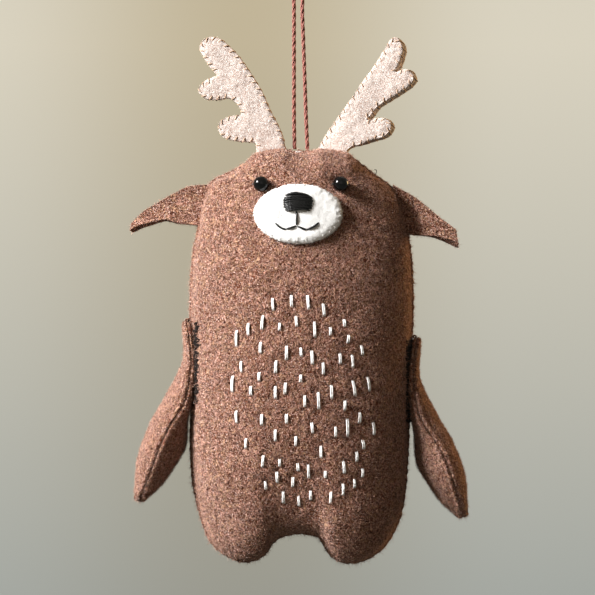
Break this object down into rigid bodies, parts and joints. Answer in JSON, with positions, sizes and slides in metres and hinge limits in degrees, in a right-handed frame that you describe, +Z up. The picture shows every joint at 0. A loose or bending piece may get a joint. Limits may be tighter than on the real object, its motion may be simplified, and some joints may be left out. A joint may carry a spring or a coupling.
{
  "type": "reindeer ornament",
  "caption": "Stuffed felt reindeer ornament with felt antlers, floppy ears and swinging arms, sewn from separate pieces and hung on a twisted cord loop.",
  "frame": {"origin": "inside top of the hanging loop, where a hook or twig carries it", "axes": "+Z up along the hanging cord, -Y the way the face looks, +X to the viewer's right; left and right are named as the viewer sees them"},
  "size_m": [0.0844, 0.0318, 0.1674],
  "materials": {
    "brown_felt": "matte",
    "beige_felt": "matte",
    "white_felt": "matte",
    "fibre_fill": "matte",
    "brown_thread": "matte",
    "beige_thread": "matte",
    "white_thread": "matte",
    "black_thread": "satin",
    "cord": "matte",
    "black_bead": "gloss"
  },
  "bodies": {
    "hanger": {"hanging_cord": "cord"},
    "torso": {"cord_knot": "cord", "body_front_felt": "brown_felt", "body_back_felt": "brown_felt", "body_stuffing": "fibre_fill", "lower_seam_stitches": "brown_thread", "left_side_seam_stitches": "brown_thread", "right_side_seam_stitches": "brown_thread", "muzzle_felt": "white_felt", "muzzle_edge_stitches": "white_thread", "nose_stitches": "black_thread", "mouth_stitches": "black_thread", "left_eye_bead": "black_bead", "right_eye_bead": "black_bead", "left_antler_front_felt": "beige_felt", "left_antler_back_felt": "beige_felt", "left_antler_edge_stitches": "beige_thread", "left_shoulder_stitches": "brown_thread", "right_antler_front_felt": "beige_felt", "right_antler_back_felt": "beige_felt", "right_antler_edge_stitches": "beige_thread", "right_shoulder_stitches": "brown_thread"},
    "left_ear": {"left_ear_front_felt": "brown_felt", "left_ear_back_felt": "brown_felt"},
    "left_arm": {"left_arm_outer_felt": "brown_felt", "left_arm_inner_felt": "brown_felt", "left_arm_stuffing": "fibre_fill", "left_arm_seam_stitches": "brown_thread"},
    "right_ear": {"right_ear_front_felt": "brown_felt", "right_ear_back_felt": "brown_felt"},
    "right_arm": {"right_arm_outer_felt": "brown_felt", "right_arm_inner_felt": "brown_felt", "right_arm_stuffing": "fibre_fill", "right_arm_seam_stitches": "brown_thread"}
  },
  "joints": [
    {"name": "body_swing", "type": "hinge", "parent": "hanger", "child": "torso", "pos_m": [0, 0, -0.0634], "axis": [1, 0, 0], "range_deg": [-45, 45]},
    {"name": "left_arm_swing", "type": "hinge", "parent": "torso", "child": "left_arm", "pos_m": [-0.0282, 0, -0.10545], "axis": [0, 1, 0], "range_deg": [0, 60]},
    {"name": "right_arm_swing", "type": "hinge", "parent": "torso", "child": "right_arm", "pos_m": [0.0282, 0, -0.10952], "axis": [0, -1, 0], "range_deg": [0, 60]},
    {"name": "left_ear_flap", "type": "hinge", "parent": "torso", "child": "left_ear", "pos_m": [-0.0251, -0.0003, -0.0766], "axis": [0.1959, 0, 0.9806], "range_deg": [-20, 20], "stiffness_Nm_per_rad": 0.0005},
    {"name": "right_ear_flap", "type": "hinge", "parent": "torso", "child": "right_ear", "pos_m": [0.026, -0.0003, -0.0781], "axis": [0.19, 0, -0.9818], "range_deg": [-20, 20], "stiffness_Nm_per_rad": 0.0005}
  ]
}
